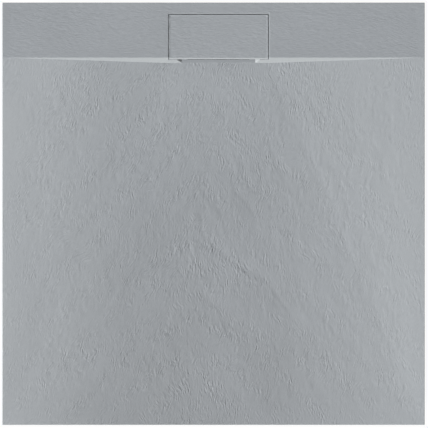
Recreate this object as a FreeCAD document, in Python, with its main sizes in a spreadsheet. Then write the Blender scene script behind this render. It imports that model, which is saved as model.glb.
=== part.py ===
import FreeCAD, Part
import os
import re
import Sketcher

# Square slate-effect shower tray with a hidden drain.
# +X is the bather's right when facing the wall, +Y points to the wall and +Z up.
# The origin is the centre of the tray's underside. All sizes are millimetres.

SIZES = {
    # tray
    "tray_width": 900,
    "tray_depth": 900,
    "tray_height": 30,
    "edge_chamfer": 1,
    "rim_land": 1,
    "ledge_depth": 117,
    "drain_fall": 11,
    "riser_run": 11,
    # cover and the pocket it lies in
    "cover_offset": 10.7,
    "cover_length": 211,
    "cover_thickness": 4,
    "cover_bevel": 3.6,
    "cover_gap": 1.5,
    "cover_back": 24,
    "cover_edge_chamfer": 0.5,
    "cover_rib_width": 3,
    "cover_rib_height": 4,
    "cover_rib_count": 6,
    "cover_rib_margin": 8,
    "pad_thickness": 1,
    "pad_side": 10,
    "support_width": 18.6,
    "cheek_run": 10,
    # sump
    "sump_lip": 7,
    "sump_inset": 3,
    "sump_depth": 9,
    "sump_draft": 15,
    "sump_corner": 12,
    "drain_inset": 73.5,
    "drain_hole_radius": 32.5,
    "trap_seat_radius": 52,
    "trap_seat_depth": 2,
    # keyed underside
    "key_width": 12,
    "key_depth": 2,
    "key_pitch": 60,
    "key_margin": 45,
    "key_front": 60,
    "key_count": 12,
    "key_draft": 30,
    # waste flange and its gaskets
    "flange_radius": 42,
    "flange_clearance": 1,
    "flange_sheet": 1.2,
    "collar_clearance": 1,
    "shelf_width": 11.2,
    "gasket_width": 8,
    "flange_gasket_thickness": 1.8,
    # screws and inserts
    "screw_count": 3,
    "screw_circle": 25.8,
    "screw_radius": 2,
    "screw_length": 9,
    "screw_head_radius": 3.4,
    "screw_head_height": 1.6,
    "screw_slot_width": 1,
    "screw_slot_depth": 0.8,
    "screw_clearance": 0.2,
    "insert_wall": 1.2,
    "insert_length": 8,
    "boss_wall": 1.5,
    "boss_length": 11,
    # trap
    "trap_plate_radius": 50,
    "trap_plate": 4,
    "trap_wall": 3,
    "bowl_radius": 39,
    "bowl_depth": 63,
    "bowl_bevel": 3,
    "throat_radius": 19.5,
    "throat_wall": 2.5,
    "throat_length": 18,
    "weir_drop": 20,
    "chamber_depth": 58,
    "chamber_reach": 62,
    "chamber_half_width": 25,
    "chamber_round": 8,
    "gusset_width": 2.5,
    "gusset_reach": 9,
    "gusset_drop": 14,
    "gusset_count": 7,
    "port_radius": 24.5,
    "port_length": 14,
    "port_depth": 33,
    "port_clearance": 0.3,
    "port_stop": 2,
    # outlet spigot and union
    "pipe_radius": 20,
    "pipe_wall": 1.9,
    "pipe_length": 62,
    "pipe_chamfer": 1.2,
    "pipe_shoulder": 0.8,
    "shoulder_gap": 2,
    "seal_thickness": 3,
    "seal_clearance": 0.1,
    "nut_wall": 3,
    "nut_overlap": 10,
    "nut_end": 3,
    "nut_clearance": 0.2,
    "grip_width": 3.5,
    "grip_reach": 2,
    "grip_count": 8,
    # dip cup
    "cup_lip_reach": 1.9,
    "cup_lip_height": 1.8,
    "cup_clearance": 0.5,
    "cup_collar_length": 8,
    "cup_tube_radius": 17.5,
    "cup_bore_radius": 15.7,
    "cup_length": 52,
    "ring_height": 3,
    "lug_reach": 1,
    "lug_width": 4,
    "lug_count": 3,
    "cup_bar_width": 3,
    "cup_bar_height": 8,
    "ring_clearance": 0.1,
    # hair strainer
    "strainer_radius": 35,
    "strainer_sheet": 1.2,
    "leg_height": 3.5,
    "leg_width": 8,
    "leg_clearance": 0.8,
    "leg_count": 3,
    "strainer_slot_width": 3,
    "strainer_slot_start": 11,
    "strainer_slot_end": 26,
    "strainer_slot_count": 14,
    "knob_radius": 6,
    "knob_waist": 4,
    "knob_height": 5,
}

# Heights and lines that several pieces share, as formulas of the sizes above
LEDGE_FRONT = "(tray_depth / 2 - ledge_depth)"
RISER_FOOT = "(tray_depth / 2 - ledge_depth - riser_run)"
FLOOR_LOW = "(tray_height - drain_fall)"
POCKET_HALF = "(cover_length / 2 + cover_gap)"
POCKET_BACK = "(tray_depth / 2 - cover_back)"
SUPPORT_TOP = "(tray_height - cover_thickness - pad_thickness)"
CHANNEL_HALF = "(cover_length / 2 + cover_gap - support_width)"
CHANNEL_FOOT_HALF = "(cover_length / 2 + cover_gap - support_width - cheek_run)"
COVER_BOTTOM = "(tray_height - cover_thickness)"
SUMP_FLOOR = "(tray_height - drain_fall - sump_depth)"
SEAT_FLOOR = "(tray_height - drain_fall - sump_depth - flange_sheet - flange_gasket_thickness)"
DRAIN_Y = "(tray_depth / 2 - drain_inset)"
COLLAR_RADIUS = "(drain_hole_radius - collar_clearance)"
SHELF_INNER = "(drain_hole_radius - collar_clearance - shelf_width)"
INSERT_RADIUS = "(screw_radius + insert_wall)"
PORT_FACE = "(chamber_reach + port_length)"
PIPE_START = "(chamber_reach + port_stop)"
UNION_RADIUS = "(pipe_radius + pipe_shoulder)"
COLLAR_OF_CUP = "(throat_radius - cup_clearance)"

doc = FreeCAD.newDocument("shower_tray")
sheet = doc.addObject("Spreadsheet::Sheet", "Sizes")
for row, (alias, size) in enumerate(SIZES.items(), start=1):
    sheet.set(f"A{row}", alias)
    sheet.set(f"B{row}", str(size))
    sheet.setAlias(f"B{row}", alias)
doc.recompute()


def cells(formula):
    """The formula with each size's name pointed at its cell."""
    return re.sub(r"[a-z_]{4,}", lambda word: f"Sizes.{word[0]}" if word[0] in SIZES else word[0], formula)


def value(formula):
    """What the formula gives with the sheet's present numbers."""
    return float(sheet.evalExpression(cells(formula)))


def bind(thing, **formulas):
    """Ties properties to formulas. A double underscore stands for a dot."""
    for name, formula in formulas.items():
        thing.setExpression(name.replace("__", "."), cells(formula))


def place(thing, x="0", y="0", z="0"):
    """Puts a piece's own origin at x, y and z."""
    bind(thing, Placement__Base__x=x, Placement__Base__y=y, Placement__Base__z=z)


def at_drain(thing):
    """Puts a piece that was modelled about the Z axis on the drain's axis."""
    place(thing, "cover_offset", DRAIN_Y)


def new_body(label):
    body = doc.addObject("PartDesign::Body", label)
    body.Label = label
    return body


def new_sketch(body, name, plane="XY_Plane", offset="0"):
    """A sketch on one of the body's own planes, moved along the plane's normal."""
    sketch = body.newObject("Sketcher::SketchObject", name)
    support = next(feature for feature in body.Origin.OriginFeatures if feature.Role == plane)
    sketch.AttachmentSupport = (support, [""])
    sketch.MapMode = "FlatFace"
    bind(sketch, AttachmentOffset__Base__z=offset)
    return sketch


def fix(sketch, kind, line, point, formula):
    """A driving constraint whose value follows a formula."""
    constraint = sketch.addConstraint(Sketcher.Constraint(kind, line, point, value(formula)))
    sketch.setExpression(f"Constraints[{constraint}]", cells(formula))


def outline(sketch, corners):
    """A closed outline of straight lines through corners, each given as two formulas."""
    first = sketch.GeometryCount
    points = [FreeCAD.Vector(value(across), value(along), 0) for across, along in corners]
    for start, end in zip(points, points[1:] + points[:1]):
        sketch.addGeometry(Part.LineSegment(start, end), False)
    for index, (across, along) in enumerate(corners):
        before = first + (index - 1) % len(corners)
        sketch.addConstraint(Sketcher.Constraint("Coincident", before, 2, first + index, 1))
        fix(sketch, "DistanceX", first + index, 1, across)
        fix(sketch, "DistanceY", first + index, 1, along)


def rectangle(sketch, left, right, low, high):
    outline(sketch, [(left, low), (right, low), (right, high), (left, high)])


def hexagon(sketch, radius, across):
    """A hexagon whose corners lie on a circle, with its centre on the sketch's own X axis."""
    turns = range(0, 360, 60)
    outline(sketch, [(f"{across} + {radius} * cos({turn})", f"{radius} * sin({turn})") for turn in turns])


def circle(sketch, radius, across="0", along="0"):
    centre = FreeCAD.Vector(value(across), value(along), 0)
    shape = Part.Circle(centre, FreeCAD.Vector(0, 0, 1), value(radius))
    index = sketch.addGeometry(shape, False)
    radius_constraint = sketch.addConstraint(Sketcher.Constraint("Radius", index, value(radius)))
    sketch.setExpression(f"Constraints[{radius_constraint}]", cells(radius))
    fix(sketch, "DistanceX", index, 3, across)
    fix(sketch, "DistanceY", index, 3, along)


def extrude(body, kind, sketch, length, name, reverse=False, draft=None, midplane=False):
    """A Pad or a Pocket of one sketch. A Pocket goes against the sketch's normal unless reversed."""
    feature = body.newObject(f"PartDesign::{kind}", name)
    feature.Profile = sketch
    feature.Reversed = reverse
    bind(feature, Length=length)
    if midplane:
        feature.SideType = "Symmetric"
    if draft:
        bind(feature, TaperAngle=draft)
    return feature


def revolve(body, kind, sketch, name, axis="V_Axis"):
    """A full turn of a sketch about one of its own axes: a Revolution adds, a Groove cuts."""
    feature = body.newObject(f"PartDesign::{kind}", name)
    feature.Profile = sketch
    feature.ReferenceAxis = (sketch, [axis])
    feature.Angle = 360
    return feature


def pattern(body, feature, count, name, around=None, along=None, pitch=None, sweep=360):
    """Copies of one feature, around or along one of the body's own axes."""
    kind = "PolarPattern" if around else "LinearPattern"
    copies = body.newObject(f"PartDesign::{kind}", name)
    copies.Originals = [feature]
    axis = next(line for line in body.Origin.OriginFeatures if line.Role == (around or along))
    if around:
        copies.Axis = (axis, [""])
        copies.Angle = sweep
    else:
        copies.Direction = (axis, [""])
        copies.Mode = "Spacing"
        bind(copies, Offset=pitch)
    bind(copies, Occurrences=count)
    body.Tip = copies
    return copies


def edges_where(feature, test):
    """Names of the feature's edges whose middle point passes a test."""
    doc.recompute()
    names = []
    for index, edge in enumerate(feature.Shape.Edges, start=1):
        middle = edge.valueAt((edge.FirstParameter + edge.LastParameter) / 2)
        if test(edge, middle):
            names.append(f"Edge{index}")
    return names


def dress(body, kind, feature, test, size, name):
    """A Fillet or a Chamfer on the edges that pass a test."""
    finish = body.newObject(f"PartDesign::{kind}", name)
    finish.Base = (feature, edges_where(feature, test))
    bind(finish, **{"Radius" if kind == "Fillet" else "Size": size})
    return finish


def is_near(one, other):
    return abs(one - other) < 1e-4


def make_tray():
    body = new_body("tray")
    half_width, half_depth = "tray_width / 2", "tray_depth / 2"

    plan = new_sketch(body, "tray_plan")
    rectangle(plan, f"-{half_width}", half_width, f"-{half_depth}", half_depth)
    slab = extrude(body, "Pad", plan, "tray_height", "slab")
    top = value("tray_height")
    dress(body, "Chamfer", slab, lambda edge, middle: is_near(middle.z, top), "edge_chamfer", "eased_edges")

    # The floor falls from the two sides and the front to the foot of the riser: a wedge turned
    # upside down, whose ridge is the line where the water reaches the cover.
    fall = body.newObject("PartDesign::SubtractiveWedge", "fall")
    fall.Placement.Rotation = FreeCAD.Rotation(FreeCAD.Vector(1, 0, 0), -90)
    margin = "(edge_chamfer + rim_land)"
    bind(
        fall,
        Xmin=f"-({half_width} - {margin})",
        Xmax=f"{half_width} - {margin}",
        Ymin="0",
        Ymax="drain_fall",
        Zmin=f"-({half_depth} - {margin})",
        Zmax=LEDGE_FRONT,
        X2min=f"cover_offset - {POCKET_HALF}",
        X2max=f"cover_offset + {POCKET_HALF}",
        Z2min=RISER_FOOT,
        Z2max=RISER_FOOT,
        Placement__Base__z="tray_height",
    )

    pocket_plan = new_sketch(body, "cover_pocket_plan", offset="tray_height")
    left, right = f"cover_offset - {POCKET_HALF}", f"cover_offset + {POCKET_HALF}"
    rectangle(pocket_plan, left, right, RISER_FOOT, POCKET_BACK)
    extrude(body, "Pocket", pocket_plan, f"tray_height - {SUPPORT_TOP}", "cover_pocket")

    # Between its two supports the ledge is cut down to the floor, with sloping cheeks
    section = new_sketch(body, "channel_section", "XZ_Plane", f"-{RISER_FOOT}")
    outline(
        section,
        [
            (f"cover_offset - {CHANNEL_HALF}", SUPPORT_TOP),
            (f"cover_offset - {CHANNEL_FOOT_HALF}", FLOOR_LOW),
            (f"cover_offset + {CHANNEL_FOOT_HALF}", FLOOR_LOW),
            (f"cover_offset + {CHANNEL_HALF}", SUPPORT_TOP),
        ],
    )
    extrude(body, "Pocket", section, f"{POCKET_BACK} - {RISER_FOOT}", "channel")

    sump_plan = new_sketch(body, "sump_plan", offset=FLOOR_LOW)
    sump_half = f"({CHANNEL_FOOT_HALF} - sump_inset)"
    rectangle(
        sump_plan,
        f"cover_offset - {sump_half}",
        f"cover_offset + {sump_half}",
        f"{RISER_FOOT} + sump_lip",
        f"{POCKET_BACK} - sump_inset",
    )
    sump = extrude(body, "Pocket", sump_plan, "sump_depth", "sump", draft="-sump_draft")
    floor_low, sump_floor = value(FLOOR_LOW), value(SUMP_FLOOR)
    dress(
        body,
        "Fillet",
        sump,
        lambda edge, middle: is_near(middle.z, (floor_low + sump_floor) / 2) and edge.Length < 15,
        "sump_corner",
        "sump_corners",
    )

    seat_plan = new_sketch(body, "flange_seat_plan", offset=SUMP_FLOOR)
    circle(seat_plan, "flange_radius + flange_clearance", "cover_offset", DRAIN_Y)
    extrude(body, "Pocket", seat_plan, f"{SUMP_FLOOR} - {SEAT_FLOOR}", "flange_seat")

    hole_plan = new_sketch(body, "drain_hole_plan", offset=SEAT_FLOOR)
    circle(hole_plan, "drain_hole_radius", "cover_offset", DRAIN_Y)
    extrude(body, "Pocket", hole_plan, SEAT_FLOOR, "drain_hole")

    under_plan = new_sketch(body, "trap_seat_plan")
    circle(under_plan, "trap_seat_radius", "cover_offset", DRAIN_Y)
    extrude(body, "Pocket", under_plan, "trap_seat_depth", "trap_seat", reverse=True)

    # Blind drafted keys across the underside give the bedding adhesive its grip
    key_plan = new_sketch(body, "key_plan")
    first_key = f"(-{half_depth} + key_front)"
    rectangle(
        key_plan,
        f"-({half_width} - key_margin)",
        f"{half_width} - key_margin",
        f"{first_key} - key_width / 2",
        f"{first_key} + key_width / 2",
    )
    key = extrude(body, "Pocket", key_plan, "key_depth", "key", reverse=True, draft="-key_draft")
    pattern(body, key, "key_count", "keys", along="Y_Axis", pitch="key_pitch")
    return body


def make_cover():
    body = new_body("drain_cover")
    side = new_sketch(body, "cover_side", "YZ_Plane", "cover_offset")
    back = f"({POCKET_BACK} - cover_gap)"
    front = f"({LEDGE_FRONT} - cover_bevel)"
    outline(
        side,
        [
            (back, "tray_height"),
            (LEDGE_FRONT, "tray_height"),
            (front, "tray_height - cover_bevel"),
            (front, COVER_BOTTOM),
            (back, COVER_BOTTOM),
        ],
    )
    plate = extrude(body, "Pad", side, "cover_length", "cover_plate", midplane=True)
    top, bevel_edge = value("tray_height"), value(LEDGE_FRONT)
    dress(
        body,
        "Chamfer",
        plate,
        lambda edge, middle: is_near(middle.z, top) and not is_near(middle.y, bevel_edge),
        "cover_edge_chamfer",
        "eased_cover",
    )

    # Ribs under the plate, clear of the water's way in at the front and of both cheeks
    ribs_front, ribs_back = f"({front} + cover_rib_margin)", f"({back} - cover_rib_margin)"
    reach = f"({CHANNEL_FOOT_HALF} - cover_rib_margin)"
    cross_plan = new_sketch(body, "cross_rib_plan", offset=COVER_BOTTOM)
    rectangle(
        cross_plan,
        f"cover_offset - {reach} - cover_rib_width / 2",
        f"cover_offset - {reach} + cover_rib_width / 2",
        ribs_front,
        ribs_back,
    )
    cross_rib = extrude(body, "Pad", cross_plan, "cover_rib_height", "cross_rib", reverse=True)
    pitch = f"2 * {reach} / (cover_rib_count - 1)"
    pattern(body, cross_rib, "cover_rib_count", "cross_ribs", along="X_Axis", pitch=pitch)
    for name, low in (("front_rib", ribs_front), ("back_rib", f"{ribs_back} - cover_rib_width")):
        rib_plan = new_sketch(body, f"{name}_plan", offset=COVER_BOTTOM)
        left, right = f"cover_offset - {reach}", f"cover_offset + {reach}"
        rectangle(rib_plan, left, right, low, f"{low} + cover_rib_width")
        extrude(body, "Pad", rib_plan, "cover_rib_height", name, reverse=True)
    return body


def make_pads():
    """Four pads under the cover's ends, each in the middle of its support."""
    across = f"({POCKET_HALF} - support_width / 2)"
    front, back = f"{LEDGE_FRONT} + pad_side / 2", f"{POCKET_BACK} - 2 * pad_side"
    pads = []
    for side in (-1, 1):
        for along in (front, back):
            pad = doc.addObject("Part::Box", f"pad_{len(pads) + 1}")
            bind(pad, Length="pad_side", Width="pad_side", Height="pad_thickness")
            place(pad, f"cover_offset + {side} * {across} - pad_side / 2", along, SUPPORT_TOP)
            pads.append(pad)
    return group("cover_pads", pads)


def group(label, pieces):
    compound = doc.addObject("Part::Compound", label)
    compound.Label = label
    compound.Links = pieces
    return compound


def make_washer(label, outer, inner, bottom, height):
    """A flat ring on the drain's axis."""
    body = new_body(label)
    plan = new_sketch(body, f"{label}_plan", offset=bottom)
    circle(plan, outer)
    circle(plan, inner)
    extrude(body, "Pad", plan, height, f"{label}_ring")
    at_drain(body)
    return body


def make_flange():
    body = new_body("waste_flange")
    half_section = new_sketch(body, "flange_section", "XZ_Plane")
    inside = f"({COLLAR_RADIUS} - flange_sheet)"
    outline(
        half_section,
        [
            ("flange_radius", SUMP_FLOOR),
            ("flange_radius", f"{SUMP_FLOOR} - flange_sheet"),
            (COLLAR_RADIUS, f"{SUMP_FLOOR} - flange_sheet"),
            (COLLAR_RADIUS, "0"),
            (SHELF_INNER, "0"),
            (SHELF_INNER, "flange_sheet"),
            (inside, "flange_sheet"),
            (inside, SUMP_FLOOR),
        ],
    )
    revolve(body, "Revolution", half_section, "pressed_flange")
    hole_plan = new_sketch(body, "flange_hole_plan", offset="flange_sheet")
    circle(hole_plan, "screw_radius + screw_clearance", "screw_circle")
    hole = extrude(body, "Pocket", hole_plan, "flange_sheet", "flange_hole")
    pattern(body, hole, "screw_count", "flange_holes", around="Z_Axis")
    at_drain(body)
    return body


def screw_turns():
    """The angle of each screw about the drain's axis."""
    count = round(value("screw_count"))
    return [360 / count * index for index in range(count)]


def around_drain(thing, turn):
    """Puts a screw or an insert at its place on the screw circle, turned to face the drain's axis."""
    thing.Placement.Rotation = FreeCAD.Rotation(FreeCAD.Vector(0, 0, 1), turn)
    place(
        thing,
        f"cover_offset + screw_circle * cos({turn})",
        f"{DRAIN_Y} + screw_circle * sin({turn})",
    )


def make_screws():
    screws = []
    for index, turn in enumerate(screw_turns(), start=1):
        head = doc.addObject("Part::Cylinder", f"screw_head_{index}")
        bind(head, Radius="screw_head_radius", Height="screw_head_height")
        place(head, z="flange_sheet")
        shank = doc.addObject("Part::Cylinder", f"screw_shank_{index}")
        bind(shank, Radius="screw_radius", Height="screw_length")
        place(shank, z="flange_sheet - screw_length")
        slot = doc.addObject("Part::Box", f"screw_slot_{index}")
        bind(slot, Length="2 * screw_head_radius", Width="screw_slot_width", Height="screw_slot_depth")
        place(
            slot,
            "-screw_head_radius",
            "-screw_slot_width / 2",
            "flange_sheet + screw_head_height - screw_slot_depth",
        )
        blank = doc.addObject("Part::Fuse", f"screw_blank_{index}")
        blank.Base, blank.Tool = head, shank
        screw = doc.addObject("Part::Cut", f"screw_{index}")
        screw.Base, screw.Tool = blank, slot
        around_drain(screw, turn)
        screws.append(screw)
    return group("flange_screws", screws)


def make_inserts():
    inserts = []
    for index, turn in enumerate(screw_turns(), start=1):
        barrel = doc.addObject("Part::Prism", f"insert_barrel_{index}")
        barrel.Polygon = 6
        bind(barrel, Circumradius=INSERT_RADIUS, Height="insert_length")
        place(barrel, z="-insert_length")
        bore = doc.addObject("Part::Cylinder", f"insert_bore_{index}")
        bind(bore, Radius="screw_radius", Height="insert_length")
        place(bore, z="-insert_length")
        insert = doc.addObject("Part::Cut", f"insert_{index}")
        insert.Base, insert.Tool = barrel, bore
        around_drain(insert, turn)
        inserts.append(insert)
    return group("screw_inserts", inserts)


def make_trap():
    """One moulding: a round bowl under a clamping plate, an outlet chamber beside it behind a weir,
    and a threaded port. The dip cup hangs in the throat."""
    body = new_body("trap_body")
    blank = new_sketch(body, "trap_blank", "XZ_Plane")
    outline(
        blank,
        [
            ("0", "0"),
            ("trap_plate_radius", "0"),
            ("trap_plate_radius", "-trap_plate"),
            ("bowl_radius", "-trap_plate"),
            ("bowl_radius", "-(bowl_depth - bowl_bevel)"),
            ("bowl_radius - bowl_bevel", "-bowl_depth"),
            ("0", "-bowl_depth"),
        ],
    )
    revolve(body, "Revolution", blank, "turned_blank")
    chamber_plan = new_sketch(body, "chamber_plan", offset="-trap_plate")
    rectangle(chamber_plan, "0", "chamber_reach", "-chamber_half_width", "chamber_half_width")
    chamber = extrude(body, "Pad", chamber_plan, "chamber_depth - trap_plate", "chamber", reverse=True)
    face, half_height = value("chamber_reach"), -value("(trap_plate + chamber_depth) / 2")
    dress(
        body,
        "Fillet",
        chamber,
        lambda edge, middle: is_near(middle.x, face) and is_near(middle.z, half_height),
        "chamber_round",
        "rounded_chamber",
    )

    port_plan = new_sketch(body, "port_plan", "YZ_Plane", "chamber_reach")
    circle(port_plan, "port_radius", "0", "-port_depth")
    extrude(body, "Pad", port_plan, "port_length", "port")

    # The chamber's hollow, which opens to the bowl above the weir
    hollow_plan = new_sketch(body, "hollow_plan", offset="-(trap_plate + trap_wall)")
    rectangle(
        hollow_plan,
        "screw_circle",
        "chamber_reach - trap_wall",
        "-(chamber_half_width - trap_wall)",
        "chamber_half_width - trap_wall",
    )
    hollow_depth = "chamber_depth - trap_plate - 2 * trap_wall"
    hollow = extrude(body, "Pocket", hollow_plan, hollow_depth, "chamber_hollow")
    inner_face = value("chamber_reach - trap_wall")
    dress(
        body,
        "Fillet",
        hollow,
        lambda edge, middle: is_near(middle.x, inner_face) and is_near(middle.z, half_height),
        "chamber_round - trap_wall",
        "rounded_hollow",
    )
    weir_plan = new_sketch(body, "weir_plan", offset="-weir_drop")
    circle(weir_plan, "bowl_radius")
    extrude(body, "Pad", weir_plan, "chamber_depth - weir_drop", "weir", reverse=True)

    inner = new_sketch(body, "bowl_inner", "XZ_Plane")
    bowl_bore, sleeve = "(bowl_radius - trap_wall)", "(throat_radius + throat_wall)"
    outline(
        inner,
        [
            ("0", "0"),
            ("throat_radius", "0"),
            ("throat_radius", "-throat_length"),
            (sleeve, "-throat_length"),
            (sleeve, "-trap_plate"),
            (bowl_bore, "-trap_plate"),
            (bowl_bore, "-(bowl_depth - trap_wall)"),
            ("0", "-(bowl_depth - trap_wall)"),
        ],
    )
    revolve(body, "Groove", inner, "bowl_hollow")

    boss_plan = new_sketch(body, "boss_plan", offset="-trap_plate / 2")
    circle(boss_plan, f"{INSERT_RADIUS} + boss_wall", "screw_circle")
    boss = extrude(body, "Pad", boss_plan, "boss_length - trap_plate / 2", "boss", reverse=True)
    pattern(body, boss, "screw_count", "bosses", around="Z_Axis")
    seat_plan = new_sketch(body, "insert_seat_plan")
    hexagon(seat_plan, INSERT_RADIUS, "screw_circle")
    seat = extrude(body, "Pocket", seat_plan, "insert_length", "insert_seat")
    pattern(body, seat, "screw_count", "insert_seats", around="Z_Axis")

    # Gussets stiffen the clamping plate on the side away from the chamber
    gusset_side = new_sketch(body, "gusset_side", "XZ_Plane")
    gusset_side.AttachmentOffset.Rotation = FreeCAD.Rotation(FreeCAD.Vector(0, 1, 0), 45)
    outline(
        gusset_side,
        [
            ("bowl_radius - trap_wall / 2", "-trap_plate / 2"),
            ("bowl_radius - trap_wall / 2", "-(trap_plate + gusset_drop)"),
            ("bowl_radius", "-(trap_plate + gusset_drop)"),
            ("bowl_radius + gusset_reach", "-trap_plate"),
            ("bowl_radius + gusset_reach", "-trap_plate / 2"),
        ],
    )
    gusset = extrude(body, "Pad", gusset_side, "gusset_width", "gusset", midplane=True)
    pattern(body, gusset, "gusset_count", "gussets", around="Z_Axis", sweep=270)

    socket_plan = new_sketch(body, "socket_plan", "YZ_Plane", PORT_FACE)
    circle(socket_plan, f"{UNION_RADIUS} + port_clearance", "0", "-port_depth")
    extrude(body, "Pocket", socket_plan, f"{PORT_FACE} - {PIPE_START}", "socket")
    passage_plan = new_sketch(body, "passage_plan", "YZ_Plane", PIPE_START)
    circle(passage_plan, "pipe_radius - pipe_wall", "0", "-port_depth")
    extrude(body, "Pocket", passage_plan, "port_stop + trap_wall", "passage")
    at_drain(body)
    return body


def at_port(thing):
    """Puts a piece that was modelled about the X axis on the port's axis."""
    place(thing, "cover_offset", DRAIN_Y, "-port_depth")


def make_outlet():
    """A 40 mm spigot that is thicker as far as its shoulder, with the ring and the nut of its union."""
    pipe = new_body("outlet_pipe")
    wall = new_sketch(pipe, "pipe_section", "XZ_Plane")
    end = f"({PIPE_START} + pipe_length)"
    shoulder_at = f"({PORT_FACE} + seal_thickness + nut_end + shoulder_gap)"
    outline(
        wall,
        [
            (PIPE_START, "pipe_radius - pipe_wall"),
            (end, "pipe_radius - pipe_wall"),
            (end, "pipe_radius - pipe_chamfer"),
            (f"{end} - 2 * pipe_chamfer", "pipe_radius"),
            (shoulder_at, "pipe_radius"),
            (shoulder_at, UNION_RADIUS),
            (PIPE_START, UNION_RADIUS),
        ],
    )
    revolve(pipe, "Revolution", wall, "pipe_wall_turned", "H_Axis")
    at_port(pipe)

    seal = new_body("outlet_seal")
    seal_section = new_sketch(seal, "seal_section", "XZ_Plane")
    rectangle(
        seal_section,
        PORT_FACE,
        f"{PORT_FACE} + seal_thickness",
        f"{UNION_RADIUS} + seal_clearance",
        "port_radius - seal_clearance",
    )
    revolve(seal, "Revolution", seal_section, "seal_ring", "H_Axis")
    at_port(seal)

    nut = new_body("outlet_nut")
    nut_section = new_sketch(nut, "nut_section", "XZ_Plane")
    start, shoulder = f"({PORT_FACE} - nut_overlap)", f"({PORT_FACE} + seal_thickness)"
    bore, skin = "(port_radius + nut_clearance)", "(port_radius + nut_clearance + nut_wall)"
    outline(
        nut_section,
        [
            (start, bore),
            (shoulder, bore),
            (shoulder, f"{UNION_RADIUS} + port_clearance"),
            (f"{shoulder} + nut_end", f"{UNION_RADIUS} + port_clearance"),
            (f"{shoulder} + nut_end", skin),
            (start, skin),
        ],
    )
    revolve(nut, "Revolution", nut_section, "turned_nut", "H_Axis")
    grip_plan = new_sketch(nut, "grip_plan", "YZ_Plane", start)
    rectangle(grip_plan, "-grip_width / 2", "grip_width / 2", f"{skin} - nut_wall / 2", f"{skin} + grip_reach")
    grip = extrude(nut, "Pad", grip_plan, "nut_overlap + seal_thickness + nut_end", "grip")
    pattern(nut, grip, "grip_count", "grips", around="X_Axis")
    at_port(nut)
    return [pipe, seal, nut]


def make_cup():
    body = new_body("dip_cup")
    section = new_sketch(body, "cup_section", "XZ_Plane")
    rest = "flange_sheet"
    outline(
        section,
        [
            ("cup_bore_radius", f"{rest} + cup_lip_height"),
            (f"{COLLAR_OF_CUP} + cup_lip_reach", f"{rest} + cup_lip_height"),
            (f"{COLLAR_OF_CUP} + cup_lip_reach", rest),
            (COLLAR_OF_CUP, rest),
            (COLLAR_OF_CUP, "-cup_collar_length"),
            ("cup_tube_radius", "-cup_collar_length"),
            ("cup_tube_radius", "-cup_length"),
            ("cup_bore_radius", "-cup_length"),
        ],
    )
    revolve(body, "Revolution", section, "dip_tube")
    bar_plan = new_sketch(body, "bar_plan", offset=f"{rest} + cup_lip_height")
    rectangle(
        bar_plan,
        "-(cup_bore_radius + cup_tube_radius) / 2",
        "(cup_bore_radius + cup_tube_radius) / 2",
        "-cup_bar_width / 2",
        "cup_bar_width / 2",
    )
    extrude(body, "Pad", bar_plan, "cup_bar_height", "lifting_bar", reverse=True)

    # The ring is pushed up the tube over three snap lugs, as far as the collar
    lug_side = new_sketch(body, "lug_side", "XZ_Plane")
    lug_top = "(-cup_collar_length - ring_height)"
    outline(
        lug_side,
        [
            ("(cup_bore_radius + cup_tube_radius) / 2", lug_top),
            ("cup_tube_radius + lug_reach", lug_top),
            ("cup_tube_radius", f"{lug_top} - 3 * lug_reach"),
            ("(cup_bore_radius + cup_tube_radius) / 2", f"{lug_top} - 3 * lug_reach"),
        ],
    )
    lug = extrude(body, "Pad", lug_side, "lug_width", "lug", midplane=True)
    pattern(body, lug, "lug_count", "lugs", around="Z_Axis")
    at_drain(body)

    ring = make_washer(
        "cup_seal",
        "throat_radius - ring_clearance",
        "cup_tube_radius",
        "-cup_collar_length - ring_height",
        "ring_height",
    )
    return [body, ring]


def make_strainer():
    body = new_body("hair_strainer")
    section = new_sketch(body, "strainer_section", "XZ_Plane")
    top = f"({SUMP_FLOOR} + strainer_sheet)"
    outline(
        section,
        [
            ("0", SUMP_FLOOR),
            ("strainer_radius", SUMP_FLOOR),
            ("strainer_radius", top),
            ("knob_waist", top),
            ("knob_radius", f"{top} + knob_height / 2"),
            ("knob_radius", f"{top} + knob_height"),
            ("0", f"{top} + knob_height"),
        ],
    )
    revolve(body, "Revolution", section, "strainer_disc")
    slot_plan = new_sketch(body, "strainer_slot_plan", offset=top)
    rectangle(
        slot_plan,
        "strainer_slot_start",
        "strainer_slot_end",
        "-strainer_slot_width / 2",
        "strainer_slot_width / 2",
    )
    slot = extrude(body, "Pocket", slot_plan, "strainer_sheet", "strainer_slot")
    pattern(body, slot, "strainer_slot_count", "strainer_slots", around="Z_Axis")

    # Three bent legs centre the strainer in the flange's collar
    leg_plan = new_sketch(body, "leg_plan", offset=SUMP_FLOOR)
    reach = f"(sqrt(({COLLAR_RADIUS} - flange_sheet - leg_clearance) ^ 2 - (leg_width / 2) ^ 2))"
    rectangle(leg_plan, f"{reach} - strainer_sheet", reach, "-leg_width / 2", "leg_width / 2")
    leg = extrude(body, "Pad", leg_plan, "leg_height", "leg", reverse=True)
    pattern(body, leg, "leg_count", "legs", around="Z_Axis")
    at_drain(body)
    return body


def check_features(body):
    """Each feature of a body has to add or cut what its kind says."""
    cuts = ("Pocket", "Groove", "SubtractiveWedge")
    adds = ("Pad", "Revolution")
    volume = 0
    for feature in body.Group:
        kind = feature.TypeId.split("::")[1]
        if not feature.TypeId.startswith("PartDesign"):
            continue
        change = feature.Shape.Volume - volume
        if kind in cuts and change > -1e-3 or kind in adds and change < 1e-3:
            raise RuntimeError(f"{feature.Name} changes the volume of {body.Label} by {change:.3f}")
        volume = feature.Shape.Volume


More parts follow.
